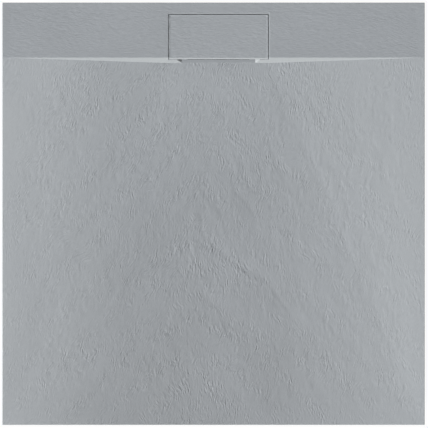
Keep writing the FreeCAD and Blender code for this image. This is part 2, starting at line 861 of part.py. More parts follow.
def check_and_write(pieces):
    doc.recompute()
    for thing in doc.Objects:
        if "Invalid" in thing.State or "Error" in thing.State:
            raise RuntimeError(f"{thing.Name} failed: {thing.State}")
    os.makedirs("parts", exist_ok=True)
    for piece in pieces:
        if piece.Shape.isNull() or not piece.Shape.isValid():
            raise RuntimeError(f"{piece.Label} has no valid shape")
        if piece.TypeId == "PartDesign::Body":
            check_features(piece)
        piece.Shape.exportStep(f"parts/{piece.Label}.step")
        box = piece.Shape.BoundBox
        print(f"{piece.Label}: {len(piece.Shape.Solids)} solids, {piece.Shape.Volume / 1000:.2f} cm3,",
              f"z {box.ZMin:.2f} to {box.ZMax:.2f}")


flange_gasket = make_washer(
    "flange_gasket",
    "flange_radius - flange_clearance",
    "flange_radius - flange_clearance - gasket_width",
    SEAT_FLOOR,
    "flange_gasket_thickness",
)
lower_gasket = make_washer(
    "lower_gasket",
    "trap_plate_radius - flange_clearance",
    "drain_hole_radius + collar_clearance",
    "0",
    "trap_seat_depth",
)
check_and_write(
    [
        make_tray(),
        make_cover(),
        make_pads(),
        flange_gasket,
        make_flange(),
        make_screws(),
        make_inserts(),
        lower_gasket,
        make_trap(),
        *make_outlet(),
        *make_cup(),
        make_strainer(),
    ]
)
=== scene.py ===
import math
import bmesh
import bpy
import numpy as np
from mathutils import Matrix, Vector


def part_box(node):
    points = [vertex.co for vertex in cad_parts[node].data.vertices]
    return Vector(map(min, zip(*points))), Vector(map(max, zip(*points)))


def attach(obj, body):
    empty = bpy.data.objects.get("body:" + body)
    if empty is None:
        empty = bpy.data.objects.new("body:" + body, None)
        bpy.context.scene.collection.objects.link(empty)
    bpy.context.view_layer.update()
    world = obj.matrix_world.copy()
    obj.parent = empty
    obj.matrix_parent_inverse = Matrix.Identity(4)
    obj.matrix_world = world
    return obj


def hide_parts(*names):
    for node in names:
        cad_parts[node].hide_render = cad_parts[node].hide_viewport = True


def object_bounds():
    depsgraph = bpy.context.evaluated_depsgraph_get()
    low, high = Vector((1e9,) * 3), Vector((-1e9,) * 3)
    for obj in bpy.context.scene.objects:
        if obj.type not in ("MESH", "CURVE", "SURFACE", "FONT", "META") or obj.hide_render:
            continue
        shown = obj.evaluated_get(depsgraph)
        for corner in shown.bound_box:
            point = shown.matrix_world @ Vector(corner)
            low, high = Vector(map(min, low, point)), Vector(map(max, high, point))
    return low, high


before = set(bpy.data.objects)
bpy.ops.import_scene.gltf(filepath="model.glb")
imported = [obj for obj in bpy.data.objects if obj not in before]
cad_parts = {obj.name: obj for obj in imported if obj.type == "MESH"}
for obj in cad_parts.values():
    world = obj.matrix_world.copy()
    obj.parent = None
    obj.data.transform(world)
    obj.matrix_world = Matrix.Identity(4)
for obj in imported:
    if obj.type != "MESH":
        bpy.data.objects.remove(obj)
cad_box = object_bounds()

MM = 0.001

# Sizes of the casting
LEDGE_DEPTH = 117 * MM
RISER_RUN = 11 * MM       # the riser's width, seen from above
FALL = 11 * MM            # from the rim to the riser's foot
RIM = 2 * MM              # the chamfer and the level strip round the floor
COVER_GAP = 1.5 * MM
SUMP_TOP = 4.5 * MM       # deeper than this, what lies in the channel counts as the sump

# Places on the tray, from the boxes of the tray and its cover
TRAY_LOW, TRAY_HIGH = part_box("tray")
COVER_LOW, COVER_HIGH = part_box("drain_cover")
TOP = TRAY_HIGH.z
COVER_X = (COVER_LOW.x + COVER_HIGH.x) / 2
LEDGE_FRONT = TRAY_HIGH.y - LEDGE_DEPTH
RISER_FOOT = LEDGE_FRONT - RISER_RUN
FLOOR_LEFT, FLOOR_RIGHT = TRAY_LOW.x + RIM, TRAY_HIGH.x - RIM
FLOOR_FRONT = TRAY_LOW.y + RIM
POCKET_HALF = (COVER_HIGH.x - COVER_LOW.x) / 2 + COVER_GAP
POCKET_LEFT, POCKET_RIGHT = COVER_X - POCKET_HALF, COVER_X + POCKET_HALF
POCKET_BACK = COVER_HIGH.y + COVER_GAP

# The cleft of the floor is mirrored about one line, and the ledge's about another
FLOOR_AXIS = -38.5 * MM
LEDGE_AXIS = COVER_X

# The lamp makes the floor's streaks seem to lean one way, so they're laid leaning the other
SLANT = 0.28

# Layers of the floor's cleft: the width and length of a streak in millimetres, how many degrees it
# leans, its depth in millimetres, whether it comes in patches, and its seed
STREAKS = [
    (5, 12, 8, 0.46, True, 15),
    (9, 20, 16, 0.28, True, 16),
    (17, 34, 22, 0.22, False, 17),
    (36, 66, 28, 0.28, False, 19),
    (70, 110, 0, 0.25, False, 18),
]

# How far the middle of the cleft lies under the plain faces, and the least it does anywhere
FLOOR_SINK, LEDGE_SINK, SINK = 1.1 * MM, 0.6 * MM, 0.02 * MM

# Where the cleft is shallow: beside the tray's edges, and behind the riser's crest
FLOOR_FADE, LEDGE_FADE, CREST_FADE = 90 * MM, 12 * MM, 25 * MM

# How wide the pocket's edge is eased, and how far inside its walls the nearest mesh line lies
EASED, INSIDE = 1.4 * MM, 0.3 * MM

# The steps of the meshes that carry the cleft
COLUMN, LEDGE_ROW = 2.28 * MM, 1.75 * MM
FLOOR_ROWS, RISER_ROWS = 160, 4
COVER_COLUMN, COVER_ROW = 1.6 * MM, 1.4 * MM

# How far a cutting block reaches past the sides of the CAD shape, and under it
BESIDE, BELOW = 3 * MM, 5 * MM

# The least width of the riser, and how far behind its crest the ledge's first row lies
LEAST_RISER, AFTER_CREST = 0.4 * MM, 0.8 * MM

# Faces below these heights are bare resin: the tray's underside with its keys, and the cover's
TRAY_BARE, COVER_BARE = TRAY_LOW.z + 2.5 * MM, COVER_HIGH.z - 3.9 * MM


# ---------------------------------------------------------------- relief

def smooth_step(low, high, value):
    t = np.clip((value - low) / (high - low), 0, 1)
    return t * t * (3 - 2 * t)


def fade(least, reach, distance):
    """A share that grows smoothly from least at no distance to one at this reach."""
    return least + (1 - least) * smooth_step(0, reach, distance)


def noise(x, y, seed, period=256):
    """Gradient noise between about -1 and 1, with one cell per unit of x and y."""
    turns = np.random.default_rng(seed).uniform(0, 2 * math.pi, (period, period))
    column, row = np.floor(x).astype(int), np.floor(y).astype(int)
    across, along = x - column, y - row
    ease_x = across ** 3 * (across * (across * 6 - 15) + 10)
    ease_y = along ** 3 * (along * (along * 6 - 15) + 10)
    total = np.zeros_like(x)
    for step_x in (0, 1):
        for step_y in (0, 1):
            turn = turns[(column + step_x) % period, (row + step_y) % period]
            slope = np.cos(turn) * (across - step_x) + np.sin(turn) * (along - step_y)
            weight_x = ease_x if step_x else 1 - ease_x
            weight_y = ease_y if step_y else 1 - ease_y
            total += weight_x * weight_y * slope
    return total * 1.5


def layer(across, along, width, length, seed):
    """Noise whose cells are this many millimetres wide and long."""
    return noise(across / (width * MM), along / (length * MM), seed)


def leaning(across, along, degrees):
    """Coordinates turned so that streaks along the second one lean away from the mirror line."""
    cos, sin = math.cos(math.radians(degrees)), math.sin(math.radians(degrees))
    return across * cos + along * sin, along * cos - across * sin


def mirrored(x, axis, rounding=1.5 * MM):
    """The distance from a mirror line, rounded off at the line itself."""
    return np.sqrt((x - axis) ** 2 + rounding ** 2)


def off_line(across, along, points):
    """The distance from a line of points, with a sign for the side of the line."""
    best = np.full_like(across, np.inf)
    side = np.zeros_like(across)
    for (x0, y0), (x1, y1) in zip(points, points[1:]):
        run = math.hypot(x1 - x0, y1 - y0)
        unit_x, unit_y = (x1 - x0) / run, (y1 - y0) / run
        place = np.clip((across - x0) * unit_x + (along - y0) * unit_y, 0, run)
        off_x, off_y = across - x0 - place * unit_x, along - y0 - place * unit_y
        distance = np.hypot(off_x, off_y)
        nearer = distance < best
        best = np.where(nearer, distance, best)
        side = np.where(nearer, unit_x * off_y - unit_y * off_x, side)
    return np.sign(side) * best


def cleft_line(across, along, points, height, seed, reach=26 * MM):
    """A step in the slate along a line of points: a low crest, a drop at the line, and a slope that
    rises again over the reach. It dies away at its ends, but not where it meets the mirror line."""
    off = off_line(across, along, points)
    wander = 1.5 * MM * layer(across, along, 9, 9, seed)
    wander += 0.9 * MM * layer(across, along, 3.5, 4.5, seed + 100)
    ends = np.hypot(across - points[-1][0], along - points[-1][1])
    if points[0][0] > 5 * MM:
        ends = np.minimum(ends, np.hypot(across - points[0][0], along - points[0][1]))
    place = off + wander
    drop = smooth_step(-1.6 * MM, 1.6 * MM, place) * np.clip(1 - place / reach, 0, 1)
    crest = 0.5 * np.exp(-((place + 1.5 * MM) / (2.2 * MM)) ** 2)
    return height * (crest - drop) * smooth_step(0, 30 * MM, ends) * (np.abs(off) < reach)


def chevrons():
    """The floor's cleft lines, each its points, in mirrored coordinates, and the height of its step."""
    steps = [
        ([(0, -26), (22, -58), (49, -86), (98, -117), (150, -146), (206, -224)], 0.42),
        ([(0, -62), (12, -72), (78, -109), (128, -140)], 0.36),
        ([(28, 24), (36, 10), (66, -28)], 0.3),
        ([(14, -190), (22, -214), (27, -238)], 0.3),
        ([(42, 175), (43, 140)], 0.3),
        ([(6, 300), (40, 262), (92, 215)], 0.3),
        ([(4, 60), (30, 22), (84, -30)], 0.28),
        ([(3, -168), (46, -205), (70, -262)], 0.3),
        ([(150, 150), (190, 60), (236, 6)], 0.24),
    ]
    scatter = np.random.default_rng(41)
    for _ in range(30):
        start_x, start_y = scatter.uniform(5, 330), scatter.uniform(-420, 240)
        length, turn = scatter.uniform(35, 120), math.radians(scatter.uniform(28, 66))
        bend = math.radians(scatter.uniform(-14, 14))
        middle = (start_x + length / 2 * math.cos(turn), start_y - length / 2 * math.sin(turn))
        end = (
            middle[0] + length / 2 * math.cos(turn + bend),
            middle[1] - length / 2 * math.sin(turn + bend),
        )
        steps.append(([(start_x, start_y), middle, end], scatter.uniform(0.1, 0.26)))
    return [([(x * MM, y * MM) for x, y in points], height * MM) for points, height in steps]


def floor_relief(x, y):
    """Slate cleft with its grain along Y, as a height about nought, in metres."""
    across = mirrored(x, FLOOR_AXIS)
    drift = 16 * MM * layer(across, y, 60, 75, 11)
    drift += 6 * MM * layer(across, y, 22, 30, 12)
    grain = mirrored(x - SLANT * y, FLOOR_AXIS) + drift
    patches = 0.55 + 0.6 * layer(across, y, 38, 52, 13)
    patches += 0.3 * layer(across, y, 15, 24, 14)
    patches = np.clip(patches, 0.12, 1.25)
    height = np.zeros_like(x)
    for width, length, lean, depth, patchy, seed in STREAKS:
        wide, long = leaning(grain, y, lean)
        streak = depth * MM * layer(wide, long, width, length, seed)
        height += streak * (patches if patchy else 1)
    for seed, (points, step) in enumerate(chevrons(), start=60):
        height += cleft_line(across, y, points, step, seed)
    return height


def ledge_relief(x, y):
    """The same cleft, finer and with its grain along X."""
    across = mirrored(x, LEDGE_AXIS)
    grain = y + 5 * MM * layer(across, y, 55, 40, 31)
    patches = np.clip(0.6 + 0.6 * layer(across, y, 40, 26, 32), 0.15, 1.3)
    streaks = layer(across, grain, 13, 4.8, 33)
    streaks += 0.5 * layer(across, grain, 24, 9, 34)
    height = 0.36 * MM * patches * streaks
    height += 0.26 * MM * layer(x - 1.6 * y, y - 0.3 * x, 52, 15, 35)
    return height


def fall_depth(x, y):
    """How far down the fall the floor is, from nought at the rim to one where the cover begins."""
    left = (x - FLOOR_LEFT) / (POCKET_LEFT - FLOOR_LEFT)
    right = (FLOOR_RIGHT - x) / (FLOOR_RIGHT - POCKET_RIGHT)
    front = (y - FLOOR_FRONT) / (RISER_FOOT - FLOOR_FRONT)
    return np.clip(np.minimum(np.minimum(left, right), front), 0, 1)


def to_edge(low, high, place):
    """The distance from the nearer of two edges."""
    return np.minimum(place - low, high - place)


def floor_height(x, y):
    """The floor's height under the tray's top, with its cleft, which is shallow at the edges."""
    x, y = np.clip(x, TRAY_LOW.x, TRAY_HIGH.x), np.clip(y, TRAY_LOW.y, TRAY_HIGH.y)
    edge = np.minimum(to_edge(TRAY_LOW.x, TRAY_HIGH.x, x), to_edge(TRAY_LOW.y, RISER_FOOT, y))
    cleft = fade(0.2, FLOOR_FADE, edge) * np.minimum(floor_relief(x, y) - FLOOR_SINK, 0)
    return -FALL * fall_depth(x, y) + cleft


def pocket_easing(x, y):
    """How far the pocket's edge is eased down, behind it and, over a narrower strip, at its left."""
    right, left, behind = x - POCKET_RIGHT, POCKET_LEFT - x, y - POCKET_BACK
    beside = np.maximum(np.maximum(right, 4 * left), 0)
    off = np.hypot(beside, np.maximum(behind, 0))
    return 0.6 * EASED * (1 - np.clip(off / EASED, 0, 1))


def ledge_height(x, y):
    """The ledge's height under the tray's top, with its cleft and the eased edge of the pocket."""
    y = np.broadcast_to(y, np.shape(x))
    edge = np.minimum(to_edge(TRAY_LOW.x, TRAY_HIGH.x, x), TRAY_HIGH.y - y)
    share = fade(0.5, LEDGE_FADE, edge) * fade(0.3, CREST_FADE, y - LEDGE_FRONT)
    return share * np.minimum(ledge_relief(x, y) - LEDGE_SINK, 0) - pocket_easing(x, y)


def tray_top(x, y):
    """The tray's top with its cleft, everywhere a little under the CAD faces."""
    riser = -FALL * np.clip((LEDGE_FRONT - y) / RISER_RUN, 0, 3)
    return TOP - SINK + np.maximum(floor_height(x, y), np.minimum(ledge_height(x, y), riser))


def riser_feet(x):
    """Where the riser meets the cleft of the floor, which is nearer the ledge towards the sides."""
    foot = np.full_like(x, RISER_FOOT)
    for _ in range(8):
        foot = LEDGE_FRONT + RISER_RUN / FALL * floor_height(x, foot)
    return foot


def cover_top(x, y):
    """The cover's top: the ledge's cleft, level again towards its edges, and plain at its bevel."""
    edge = np.minimum(to_edge(COVER_LOW.x, COVER_HIGH.x, x), COVER_HIGH.y - y)
    calm = smooth_step(-0.5 * MM, 3 * MM, edge)
    return TOP - SINK + calm * np.minimum(ledge_relief(x, y) - LEDGE_SINK, 0)


# ---------------------------------------------------------------- meshes

def relief_block(name, x_lines, rows, top_at, low):
    """A closed block down to a height, whose top follows the cleft. x_lines are its columns, rows has
    the places along each column, and top_at gives the height there. All its faces have material 1."""
    x = np.repeat(x_lines[:, None], rows.shape[1], axis=1)
    top = np.stack([x, rows, top_at(x, rows)], axis=-1).reshape(-1, 3)
    index = np.arange(x.size).reshape(x.shape)
    quads = np.stack([index[:-1, :-1], index[1:, :-1], index[1:, 1:], index[:-1, 1:]], axis=-1)
    border = np.concatenate([index[:, 0], index[-1, 1:], index[-2::-1, -1], index[0, -2:0:-1]])
    foot = top[border].copy()
    foot[:, 2] = low
    first, count = len(top), len(border)
    faces = [tuple(face) for face in quads.reshape(-1, 4).tolist()]
    for step in range(count):
        after = (step + 1) % count
        faces.append((int(border[step]), first + step, first + after, int(border[after])))
    faces.append(tuple(first + step for step in reversed(range(count))))
    mesh = bpy.data.meshes.new(name)
    mesh.from_pydata(np.concatenate([top, foot]).tolist(), [], faces)
    mesh.polygons.foreach_set("material_index", [1] * len(faces))
    mesh.update()
    return mesh


def lines(*stretches):
    """Places along an axis: each stretch is (start, end, step), and they join end to end."""
    parts = []
    for start, end, step in stretches:
        count = max(1, round((end - start) / step))
        parts.append(np.linspace(start, end, count, endpoint=False))
    return np.append(np.concatenate(parts), stretches[-1][1])


def tray_columns():
    """Even columns, with close ones at the two sides of the pocket, none of them on its walls."""
    left, right = POCKET_LEFT + INSIDE, POCKET_RIGHT - INSIDE
    return lines(
        (TRAY_LOW.x - BESIDE, left - EASED, COLUMN),
        (left - EASED, left, EASED / 2),
        (left, right, COLUMN),
        (right, right + EASED, EASED / 2),
        (right + EASED, TRAY_HIGH.x + BESIDE, COLUMN),
    )


def tray_rows(x_lines):
    """The rows of each column: even over the floor, from the riser's foot to its crest and over the
    ledge, with close ones behind the pocket. They never turn back, so the block's top never folds."""
    back = POCKET_BACK - INSIDE
    floor_part, riser_part = np.linspace(0, 1, FLOOR_ROWS + 1), np.linspace(0, 1, RISER_ROWS + 1)[1:]
    ledge_rows = lines(
        (LEDGE_FRONT + AFTER_CREST, back, LEDGE_ROW),
        (back, back + EASED, EASED / 2),
        (back + EASED, TRAY_HIGH.y + BESIDE, LEDGE_ROW),
    )
    start = TRAY_LOW.y - BESIDE
    crests = LEDGE_FRONT + RISER_RUN / FALL * ledge_height(x_lines, LEDGE_FRONT)
    feet = np.minimum(riser_feet(x_lines), crests - LEAST_RISER)
    rows = []
    for foot, crest in zip(feet, crests):
        floor_rows, riser_rows = start + (foot - start) * floor_part, foot + (crest - foot) * riser_part
        rows.append(np.concatenate([floor_rows, riser_rows, ledge_rows]))
    return np.array(rows)


def cut_from_cad(name, node, block):
    """The CAD node's shape where it lies inside the block, as a piece that stands for the node.
    Its cleft faces have material 1 and its plain ones material 0."""
    piece = bpy.data.objects.new(name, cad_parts[node].data.copy())
    tool = bpy.data.objects.new(name + "_block", block)
    for thing in (piece, tool):
        bpy.context.scene.collection.objects.link(thing)
        thing.data.materials.clear()
        for _ in range(2):
            thing.data.materials.append(None)
    join_doubles(piece.data)
    cut = piece.modifiers.new("relief", "BOOLEAN")
    cut.operation, cut.solver, cut.object = "INTERSECT", "EXACT", tool
    cut.material_mode = "INDEX"
    shape = bpy.context.evaluated_depsgraph_get()
    made = bpy.data.meshes.new_from_object(piece.evaluated_get(shape))
    if made.has_custom_normals:
        made.attributes.remove(made.attributes["custom_normal"])
    piece.modifiers.clear()
    piece.data = made
    bpy.data.objects.remove(tool)
    return piece


def join_doubles(mesh):
    shape = bmesh.new()
    shape.from_mesh(mesh)
    bmesh.ops.remove_doubles(shape, verts=shape.verts, dist=1e-6)
    shape.to_mesh(mesh)
    shape.free()


def shade(piece, angle=25):
    """Smooth shading, with edges sharper than the angle and the cleft's own outline left crisp."""
    mesh = piece.data
    mesh.polygons.foreach_set("use_smooth", [True] * len(mesh.polygons))
    mesh.set_sharp_from_angle(angle=math.radians(angle))
    shape = bmesh.new()
    shape.from_mesh(mesh)
    for edge in shape.edges:
        if len({face.material_index for face in edge.link_faces}) > 1:
            edge.smooth = False
    shape.to_mesh(mesh)
    shape.free()


# ---------------------------------------------------------------- materials

class Shader:
    """One material's node tree, with short ways to add nodes."""

    def __init__(self, name, roughness, metallic=0.0):
        self.material = bpy.data.materials.new(name)
        self.material.use_nodes = True
        self.tree = self.material.node_tree
        self.surface = self.tree.nodes["Principled BSDF"]
        self.set("Roughness", roughness)
        self.set("Metallic", metallic)
        self.place = self.add("ShaderNodeTexCoord").outputs["Object"]

    def set(self, socket, value):
        self.surface.inputs[socket].default_value = value

    def add(self, kind, **settings):
        node = self.tree.nodes.new(kind)
        for name, value in settings.items():
            setattr(node, name, value)
        return node

    def join(self, output, target):
        self.tree.links.new(output, target)

    def split(self, vector):
        """A vector's three sockets."""
        node = self.add("ShaderNodeSeparateXYZ")
        self.join(vector, node.inputs[0])
        return node.outputs["X"], node.outputs["Y"], node.outputs["Z"]

    def stretch(self, scale):
        """The place, scaled apart along X, Y and Z."""
        node = self.add("ShaderNodeMapping")
        node.inputs["Scale"].default_value = scale
        self.join(self.place, node.inputs["Vector"])
        return node.outputs["Vector"]

    def noise(self, scale, detail=3.0, rough=0.5, at=None):
        """Noise from 0 to 1 with about scale cells per metre."""
        node = self.add("ShaderNodeTexNoise")
        node.inputs["Scale"].default_value = scale
        node.inputs["Detail"].default_value = detail
        node.inputs["Roughness"].default_value = rough
        self.join(at or self.place, node.inputs["Vector"])
        return node.outputs["Fac"]

    def plane_noise(self, across, along, wide, long):
        """Noise from 0 to 1 over two sockets, with cells of this size in metres."""
        spot = self.add("ShaderNodeCombineXYZ")
        self.join(self.math("DIVIDE", across, wide), spot.inputs["X"])
        self.join(self.math("DIVIDE", along, long), spot.inputs["Y"])
        return self.noise(1.0, 2.0, 0.5, spot.outputs[0])

    def ramp(self, value, low, high, out_low=0.0, out_high=1.0):
        node = self.add("ShaderNodeMapRange")
        node.inputs["From Min"].default_value = low
        node.inputs["From Max"].default_value = high
        node.inputs["To Min"].default_value = out_low
        node.inputs["To Max"].default_value = out_high
        self.join(value, node.inputs["Value"])
        return node.outputs["Result"]

    def math(self, operation, first, second):
        """An operation on two values, each a number or a socket."""
        node = self.add("ShaderNodeMath", operation=operation)
        for socket, value in zip(node.inputs, (first, second)):
            if isinstance(value, (int, float)):
                socket.default_value = value
            else:
                self.join(value, socket)
        return node.outputs[0]

    def plus(self, first, second):
        return self.math("ADD", first, second)

    def minus(self, first, second):
        return self.math("SUBTRACT", first, second)

    def times(self, first, second):
        return self.math("MULTIPLY", first, second)

    def larger(self, first, second):
        return self.math("MAXIMUM", first, second)

    def size(self, value):
        return self.math("ABSOLUTE", value, 0)

    def mix_values(self, factor, first, second):
        node = self.add("ShaderNodeMix", data_type="FLOAT")
        self.join(factor, node.inputs["Factor"])
        self.join(first, node.inputs[2])
        self.join(second, node.inputs[3])
        return node.outputs[0]

    def blend(self, factor, first, second):
        """A colour between two others, each a colour or a socket."""
        node = self.add("ShaderNodeMix", data_type="RGBA")
        self.join(factor, node.inputs["Factor"])
        for socket, value in ((node.inputs[6], first), (node.inputs[7], second)):
            if isinstance(value, tuple):
                socket.default_value = (*value, 1)
            else:
                self.join(value, socket)
        return node.outputs[2]

    def colour(self, output):
        self.join(output, self.surface.inputs["Base Color"])

    def roughness(self, output):
        self.join(output, self.surface.inputs["Roughness"])

    def bump(self, height, depth, strength=1.0, under=None):
        """Bump of a depth in metres, over another bump if one is given."""
        node = self.add("ShaderNodeBump")
        node.inputs["Distance"].default_value = depth
        node.inputs["Strength"].default_value = strength
        self.join(height, node.inputs["Height"])
        if under:
            self.join(under, node.inputs["Normal"])
        self.join(node.outputs["Normal"], self.surface.inputs["Normal"])
        return node.outputs["Normal"]


def srgb(red, green, blue):
    """A colour written as it looks on a screen, from 0 to 255, as linear light."""
    def linear(level):
        level /= 255
        return level / 12.92 if level <= 0.04045 else ((level + 0.055) / 1.055) ** 2.4
    return tuple(linear(level) for level in (red, green, blue))


def floor_grain(look, x, y, warp):
    """The floor's finest cleft, about nought: streaks and flakes in bands along the chevrons."""
    streak_share, flake_share = 0.8, 0.45
    folded = look.size(look.minus(x, FLOOR_AXIS))
    turned = look.plus(look.size(look.minus(look.minus(x, look.times(y, SLANT)), FLOOR_AXIS)), warp)
    streaks = look.plane_noise(look.plus(turned, look.times(y, 0.11)), y, 3 * MM, 10.5 * MM)
    flakes = look.plane_noise(look.plus(turned, look.times(y, 0.2)), y, 4.5 * MM, 11.5 * MM)
    grain = look.plus(look.times(streaks, streak_share), look.times(flakes, flake_share))
    grain = look.minus(grain, (streak_share + flake_share) / 2)
    chevron = look.plus(y, look.times(folded, 0.75))
    bands = look.ramp(look.plane_noise(chevron, folded, 45 * MM, 160 * MM), 0.36, 0.62, 0.25, 1.35)
    patches = look.ramp(look.plane_noise(folded, y, 16 * MM, 30 * MM), 0.36, 0.64, 0.35, 1.6)
    towards_middle = look.ramp(folded, 0.0, 360 * MM, 1.45, 0.75)
    return look.times(grain, look.times(look.times(bands, patches), towards_middle))


def ledge_grain(look, x, y, warp):
    """The ledge's finest cleft, about nought, with its streaks along X."""
    beside = look.size(look.minus(x, LEDGE_AXIS))
    streaks = look.plane_noise(beside, look.plus(y, warp), 11 * MM, 2.6 * MM)
    return look.times(look.minus(streaks, 0.5), 0.62)


def cleft_grain(look, x, y):
    """The finest cleft of the whole top, as a height about nought."""
    folded = look.size(look.minus(x, FLOOR_AXIS))
    lean = look.ramp(look.plane_noise(folded, y, 160 * MM, 160 * MM), 0.2, 0.8, -25 * MM, 25 * MM)
    ripple = look.ramp(look.plane_noise(folded, y, 40 * MM, 40 * MM), 0.2, 0.8, -3 * MM, 3 * MM)
    warp = look.plus(lean, ripple)
    on_ledge = look.ramp(y, LEDGE_FRONT - MM, LEDGE_FRONT + MM)
    return look.mix_values(on_ledge, floor_grain(look, x, y, warp), ledge_grain(look, x, y, warp))


def smooth_zones(look, x, y, z):
    """Three sockets, 1 where the casting is smooth: on the riser and the channel's cheeks, inside the
    sump, and on all upright faces. The tray's front edge faces as the riser does, but more squarely."""
    true_normal = look.add("ShaderNodeNewGeometry").outputs["True Normal"]
    normal_x, normal_y, normal_z = look.split(true_normal)
    beside = look.size(look.minus(x, COVER_X))
    in_pocket = look.math("LESS_THAN", beside, POCKET_HALF)
    channel = look.times(in_pocket, look.math("GREATER_THAN", y, RISER_FOOT))
    cheeks = look.times(look.ramp(look.size(normal_x), 0.3, 0.5), channel)
    sump = look.times(channel, look.math("LESS_THAN", z, TOP - SUMP_TOP))
    upright = look.ramp(look.size(normal_z), 0.6, 0.3)
    front_edge = look.math("GREATER_THAN", look.size(normal_y), 0.9)
    riser = look.times(look.ramp(normal_y, -0.3, -0.5), look.minus(1.0, front_edge))
    return look.larger(riser, cheeks), sump, upright


def slate_tone_and_painted_shade(look, x, y, ledge_tone):
    """The slate's colour, with painted light and shade on the floor: its middle is painted darker than
    its sides, less so near the drain and more so towards the front, and its left side lighter than its
    right against the lamp."""
    side_left, middle_back, middle_front = srgb(175, 179, 182), srgb(149, 153, 157), srgb(146, 149, 152)
    side_right_back, side_right_front = srgb(163, 167, 170), srgb(170, 174, 177)
    away = look.size(look.minus(x, FLOOR_AXIS))
    spread = look.times(look.minus(y, LEDGE_FRONT), -0.17)
    beside = look.ramp(look.minus(away, spread), 60 * MM, 340 * MM)
    near_drain = look.ramp(y, RISER_FOOT - 280 * MM, RISER_FOOT - 60 * MM, 0.0, 0.4)
    towards_front = look.ramp(y, 250 * MM, -350 * MM)
    side_right = look.blend(towards_front, side_right_back, side_right_front)
    side = look.blend(look.ramp(x, -300 * MM, 300 * MM), side_left, side_right)
    middle = look.blend(towards_front, middle_back, middle_front)
    # Painted light and shade: the floor's sides are painted lighter and its middle darker, as a lamp
    # would light them
    floor_painted_shading = look.blend(look.larger(beside, near_drain), middle, side)
    return look.blend(look.ramp(y, LEDGE_FRONT, LEDGE_FRONT - MM), ledge_tone, floor_painted_shading)


def slate_material(name, ledge_tone):
    """Gel-coated slate-effect casting: matt grey with grain along Y on the floor and X on the ledge."""
    look = Shader(name, 0.62)
    # The riser's colour is a painted highlight, lighter than the slate where the lamp catches it; the
    # groove colour is painted shade
    riser_painted_highlight, groove_painted_shade = srgb(182, 186, 187), srgb(128, 133, 138)
    cloud_tone, speck_tone = srgb(160, 164, 169), srgb(132, 137, 141)
    x, y, z = look.split(look.place)
    riser, sump, upright = smooth_zones(look, x, y, z)
    smooth = look.larger(look.larger(riser, sump), upright)
    grain = look.times(cleft_grain(look, x, y), look.ramp(smooth, 0.0, 1.0, 1.0, 0.12))

    # The floor's colour carries painted light and shade
    tone = slate_tone_and_painted_shade(look, x, y, ledge_tone)
    tone = look.blend(sump, tone, ledge_tone)
    # Painted highlight on the riser and the channel's cheeks
    tone = look.blend(riser, tone, riser_painted_highlight)
    # Painted shade: the grain's low spots are darkened, as shade in its grooves
    tone = look.blend(look.ramp(grain, 0.1, -0.12, 0.0, 0.3), tone, groove_painted_shade)
    tone = look.blend(look.ramp(look.noise(5.5), 0.3, 0.7, 0.0, 0.35), tone, cloud_tone)
    tone = look.blend(look.ramp(look.noise(900, 2.0, 0.6), 0.35, 0.75, 0.0, 0.22), tone, speck_tone)
    look.colour(tone)
    look.roughness(look.ramp(look.noise(240), 0.3, 0.7, 0.54, 0.7))

    fine = look.bump(look.noise(1500, 2.0, 0.6), 0.06 * MM, 0.8)
    look.bump(grain, 1.16 * MM, 1.0, fine)
    return look.material


def cast_material(name):
    """The bare resin of the underside, as it leaves the mould."""
    look = Shader(name, 0.78)
    dark, pale = srgb(142, 143, 142), srgb(162, 162, 159)
    tone = look.blend(look.ramp(look.noise(34, 5.0, 0.6), 0.35, 0.68), dark, pale)
    # Dark specks are painted shade, standing in for pinholes in the resin that have no hollow here
    pinhole_painted_shade = look.ramp(look.noise(420, 2.0), 0.66, 0.74)
    look.colour(look.blend(pinhole_painted_shade, tone, srgb(96, 97, 97)))
    look.bump(look.noise(160, 5.0, 0.65), 0.4 * MM, 0.5)
    return look.material


def plastic_material(name, colour, roughness):
    """A moulded plastic: fine spark-eroded grain, faint flow marks and a little uneven gloss."""
    look = Shader(name, roughness)
    darker = tuple(level * 0.86 for level in colour)
    flow = look.noise(1.0, 3.0, 0.55, look.stretch((26, 26, 60)))
    look.colour(look.blend(look.ramp(flow, 0.35, 0.7), colour, darker))
    look.roughness(look.ramp(look.noise(90), 0.3, 0.7, roughness - 0.07, roughness + 0.08))
    look.bump(look.noise(1400, 2.0), 0.03 * MM, 0.6)
    return look.material


def rubber_material(name, colour, roughness=0.72):
    """Rubber with a little dust on it."""
    look = Shader(name, roughness)
    dusty = tuple(min(1, level + 0.05) for level in colour)
    dust = look.ramp(look.noise(210, 4.0, 0.6), 0.5, 0.8, 0.0, 0.35)
    look.colour(look.blend(dust, colour, dusty))
    look.roughness(look.ramp(look.noise(130, 2.0), 0.3, 0.7, roughness - 0.1, roughness + 0.1))
    look.bump(look.noise(1100), 0.05 * MM, 0.7)
    return look.material


def metal_material(name, colour, roughness, brush=0.0):
    """Metal with faint spots of water scale and, where a depth is given, brush marks along Y."""
    look = Shader(name, roughness, metallic=1.0)
    stained = tuple(level * 0.82 for level in colour)
    stain = look.ramp(look.noise(70, 4.0, 0.6), 0.45, 0.75, 0.0, 0.5)
    look.colour(look.blend(stain, colour, stained))
    look.roughness(look.ramp(look.noise(160, 4.0), 0.3, 0.75, roughness - 0.06, roughness + 0.12))
    if brush:
        look.bump(look.noise(1.0, 2.0, 0.6, look.stretch((2400, 160, 900))), brush, 0.6)
    else:
        look.bump(look.noise(500, 2.0), 0.01 * MM, 0.4)
    return look.material


# ---------------------------------------------------------------- the object

def make_tray(coat, resin):
    x_lines = tray_columns()
    block = relief_block("tray_block", x_lines, tray_rows(x_lines), tray_top, TRAY_LOW.z - BELOW)
    tray = cut_from_cad("tray_casting", "tray", block)
    finish_casting(tray, coat, resin, TRAY_BARE)
    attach(tray, "root")
    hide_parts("tray")


